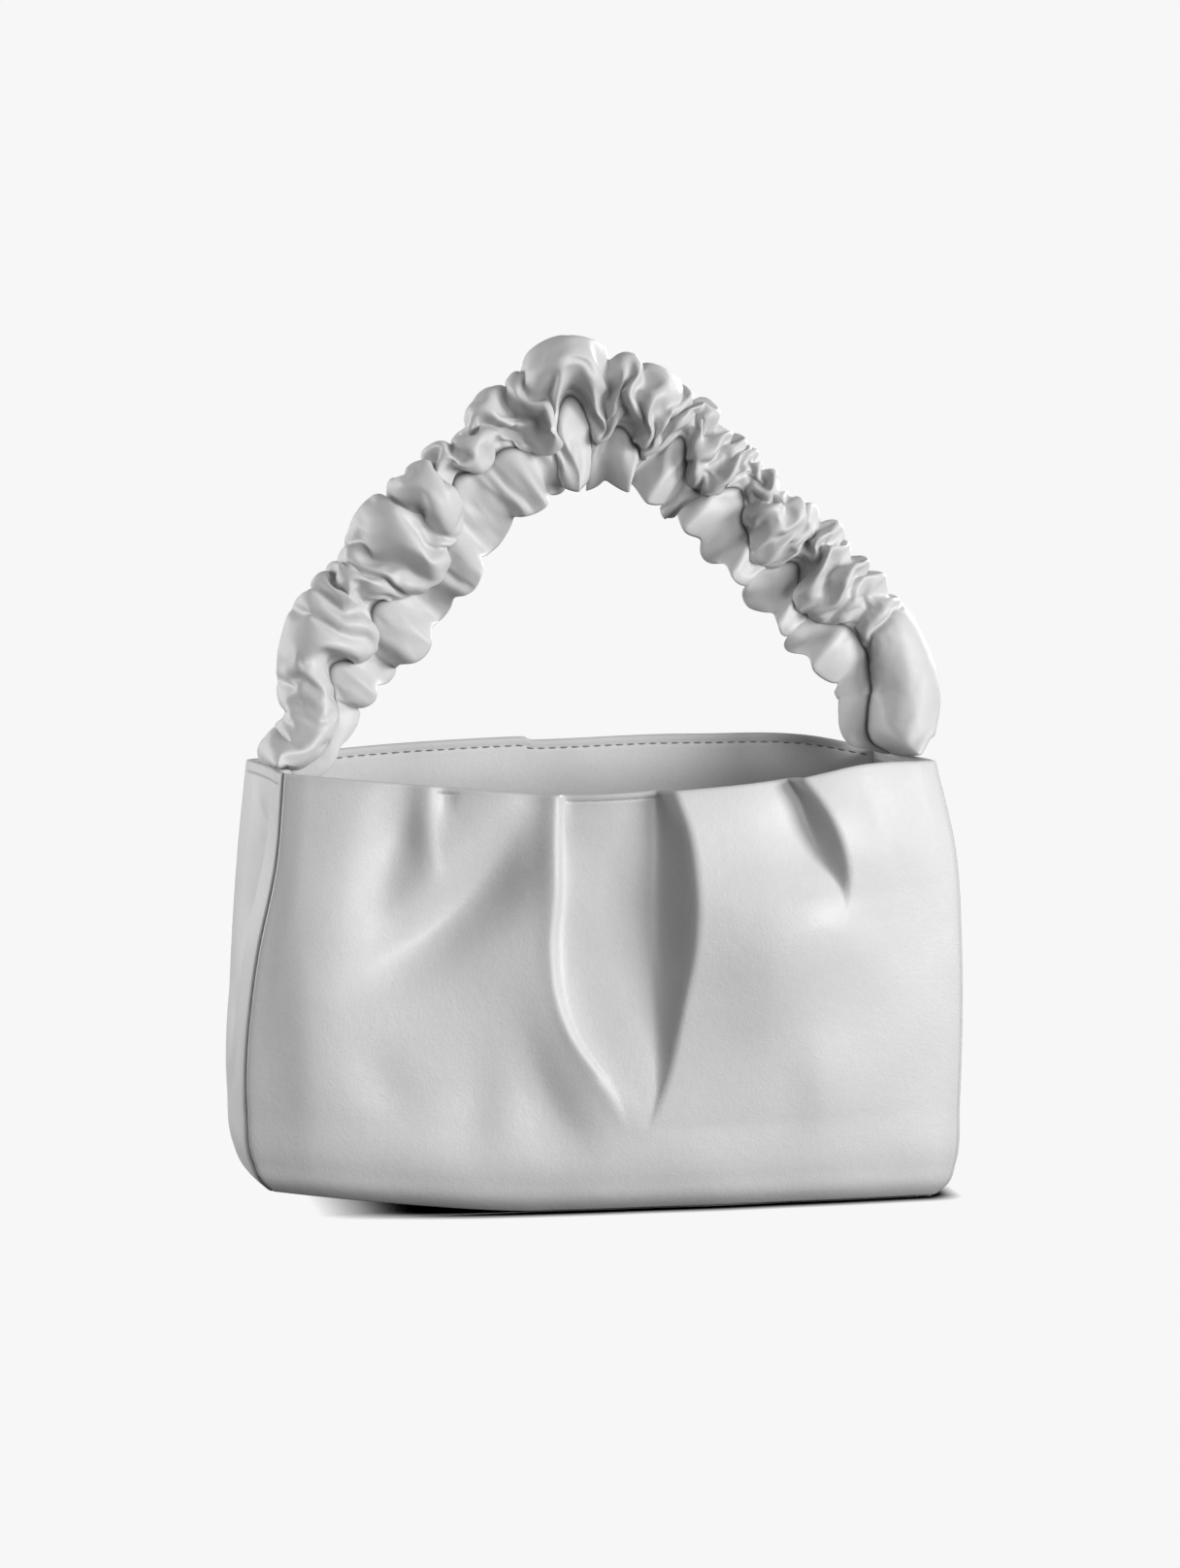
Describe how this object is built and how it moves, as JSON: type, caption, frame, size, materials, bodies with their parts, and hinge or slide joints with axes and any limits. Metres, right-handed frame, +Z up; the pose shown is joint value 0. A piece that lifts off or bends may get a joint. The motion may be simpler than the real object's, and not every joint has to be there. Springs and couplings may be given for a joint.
{
  "type": "gathered-handle handbag",
  "caption": "Small open-top soft leather handbag with a pleated front, side gussets, a soft base it stands on and a gathered ruched top handle.",
  "frame": {"origin": "on the flat underside of the base, half way between the front and back and near the middle of the width", "axes": "+X to the right as the front is seen, -Y out of the pleated front, +Z up"},
  "size_m": [0.2553, 0.1039, 0.294],
  "materials": {
    "panel_leather": "soft matte smooth leather",
    "gusset_leather": "soft matte smooth leather",
    "handle_leather": "thin soft satin leather, gathered"
  },
  "bodies": {
    "root": {"base_panel": "gusset_leather", "front_panel": "panel_leather", "back_panel": "panel_leather", "left_gusset": "gusset_leather", "right_gusset": "gusset_leather", "handle_sleeve": "handle_leather"}
  },
  "joints": []
}
